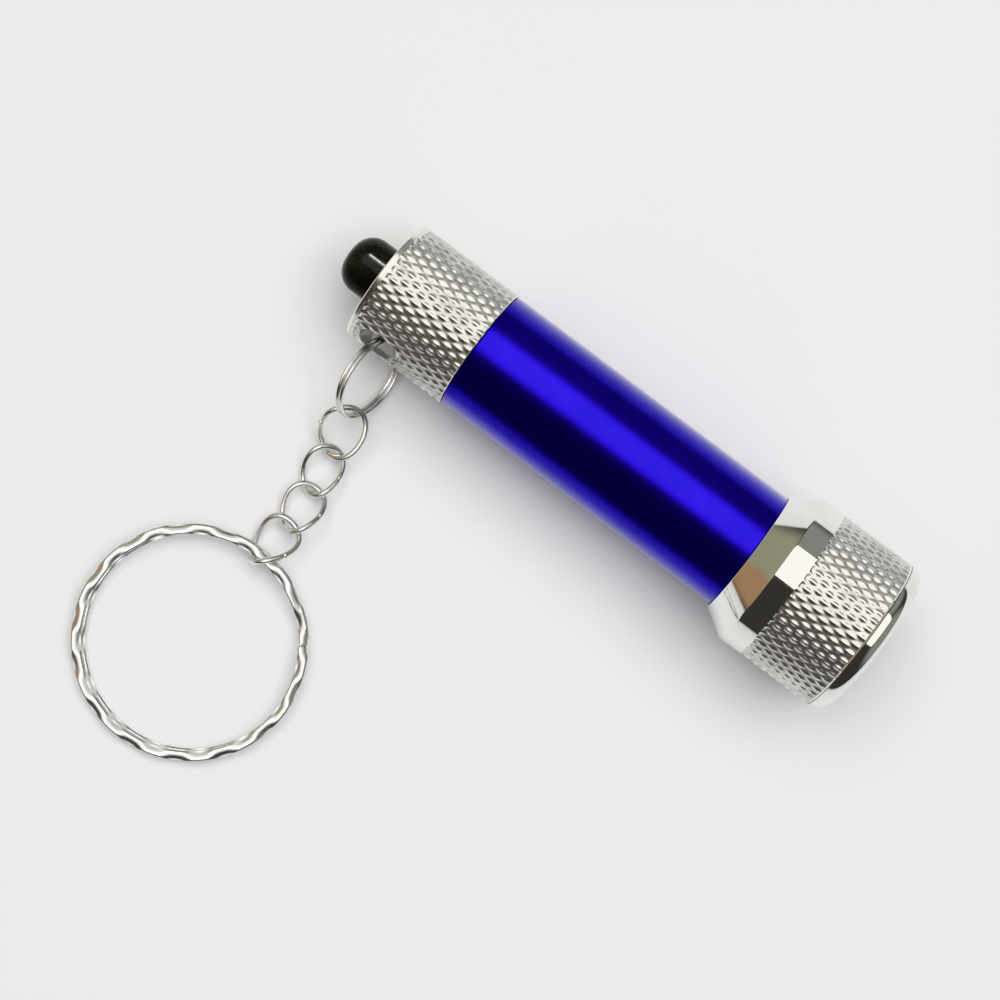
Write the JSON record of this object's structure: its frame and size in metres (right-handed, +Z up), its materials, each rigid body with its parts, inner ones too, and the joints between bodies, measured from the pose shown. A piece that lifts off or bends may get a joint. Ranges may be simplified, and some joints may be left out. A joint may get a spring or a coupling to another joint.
{
  "type": "keychain flashlight",
  "caption": "Slim metal pocket flashlight with a knurled head and tail cap, a tail push-button, and a short chain to a split key ring.",
  "frame": {"origin": "on the floor, below the middle of the whole object's box, with the flashlight and its key ring lying down", "axes": "+X runs along the flashlight towards its lens (the axis itself leans up 2.4 degrees out of +X, as it rests), the chain runs off towards -Y, and +Z is up"},
  "size_m": [0.0686, 0.0638, 0.0181],
  "materials": {
    "tube_anodised": "glossy deep blue anodised",
    "head_chrome": "polished, knurled on its barrel",
    "bezel_chrome": "polished",
    "cap_knurled": "diamond knurled and bright",
    "button_black": "glossy black",
    "chain_steel": "nickel plated wire",
    "key_ring_steel": "nickel plated, rippled",
    "lens_clear": "clear",
    "led_epoxy": "water clear",
    "reflector_bright": "mirror bright",
    "board_green": "solder-masked board",
    "resistor_body": "moulded black",
    "cell_steel": "nickel plated",
    "sleeve_film": "white film",
    "contact_metal": "bright",
    "switch_plastic": "moulded grey",
    "seal_rubber": "matt black"
  },
  "bodies": {
    "torch": {"body_tube": "tube_anodised", "battery_sleeve": "sleeve_film", "cell_1": "cell_steel", "cell_2": "cell_steel", "cell_3": "cell_steel", "cell_4": "cell_steel"},
    "head_seal": {"head_o_ring": "seal_rubber"},
    "head": {"head_shell": "head_chrome", "bezel_ring": "bezel_chrome", "lens": "lens_clear", "lens_gasket": "seal_rubber", "reflector": "reflector_bright", "led_1": "led_epoxy", "led_2": "led_epoxy", "led_3": "led_epoxy", "led_4": "led_epoxy", "led_5": "led_epoxy", "led_board": "board_green", "board_resistor": "resistor_body", "front_spring": "contact_metal"},
    "cap_seal": {"tail_o_ring": "seal_rubber"},
    "cap": {"tail_cap": "cap_knurled", "switch_housing": "switch_plastic", "switch_board": "board_green", "retaining_ring": "contact_metal", "contact_spring": "contact_metal"},
    "button": {"push_button": "button_black", "switch_stem": "switch_plastic", "switch_spring": "contact_metal"},
    "small_ring": {"small_ring": "chain_steel"},
    "link_1": {"link_1": "chain_steel"},
    "link_2": {"link_2": "chain_steel"},
    "link_3": {"link_3": "chain_steel"},
    "link_4": {"link_4": "chain_steel"},
    "key_ring": {"key_ring": "key_ring_steel"}
  },
  "joints": [
    {"name": "head_travel", "type": "slide", "parent": "torch", "child": "head_seal", "axis": [0.9991, 0, 0.0415], "range_m": [0, 0.00375]},
    {"name": "head_turn", "type": "hinge", "parent": "head_seal", "child": "head", "pos_m": [0.01839, 0.02307, 0.00871], "axis": [0.9991, 0, 0.0415], "range_deg": [0, 1800]},
    {"name": "cap_travel", "type": "slide", "parent": "torch", "child": "cap_seal", "axis": [-0.9991, 0, -0.0415], "range_m": [0, 0.0045]},
    {"name": "cap_turn", "type": "hinge", "parent": "cap_seal", "child": "cap", "pos_m": [-0.02767, 0.02307, 0.0068], "axis": [-0.9991, 0, -0.0415], "range_deg": [0, 2160]},
    {"name": "button_press", "type": "slide", "parent": "cap", "child": "button", "axis": [0.9991, 0, 0.0415], "range_m": [0, 0.0015], "stiffness_N_per_m": 600, "springref_m": -0.0005, "deforming": ["switch_spring"]},
    {"name": "small_ring_swing", "type": "hinge", "parent": "cap", "child": "small_ring", "pos_m": [-0.02373, 0.01782, 0.00584], "axis": [-0.0406, -0.2079, 0.9773], "range_deg": [-20, 18]},
    {"name": "link_1_swing", "type": "hinge", "parent": "small_ring", "child": "link_1", "pos_m": [-0.0226, 0.00959, 0.00373], "axis": [0, 0, 1], "range_deg": [-45, 8]},
    {"name": "link_2_swing", "type": "hinge", "parent": "link_1", "child": "link_2", "pos_m": [-0.02203, 0.00558, 0.00139], "axis": [1, 0, 0], "range_deg": [-42, 15]},
    {"name": "link_3_swing", "type": "hinge", "parent": "link_2", "child": "link_3", "pos_m": [-0.02122, 0.00109, 0.00115], "axis": [0, 0, 1], "range_deg": [-14, 28]},
    {"name": "link_4_swing", "type": "hinge", "parent": "link_3", "child": "link_4", "pos_m": [-0.02053, -0.00332, 0.00196], "axis": [1, 0, 0], "range_deg": [-50, 15]},
    {"name": "key_ring_swing", "type": "hinge", "parent": "link_4", "child": "key_ring", "pos_m": [-0.02181, -0.0081, 0.00215], "axis": [0, 0, 1], "range_deg": [-35, 12]}
  ],
  "couplings": [
    {"joint": "head_travel", "follows": "head_turn", "m_per_rad": 0.00011937},
    {"joint": "cap_travel", "follows": "cap_turn", "m_per_rad": 0.00011937}
  ]
}
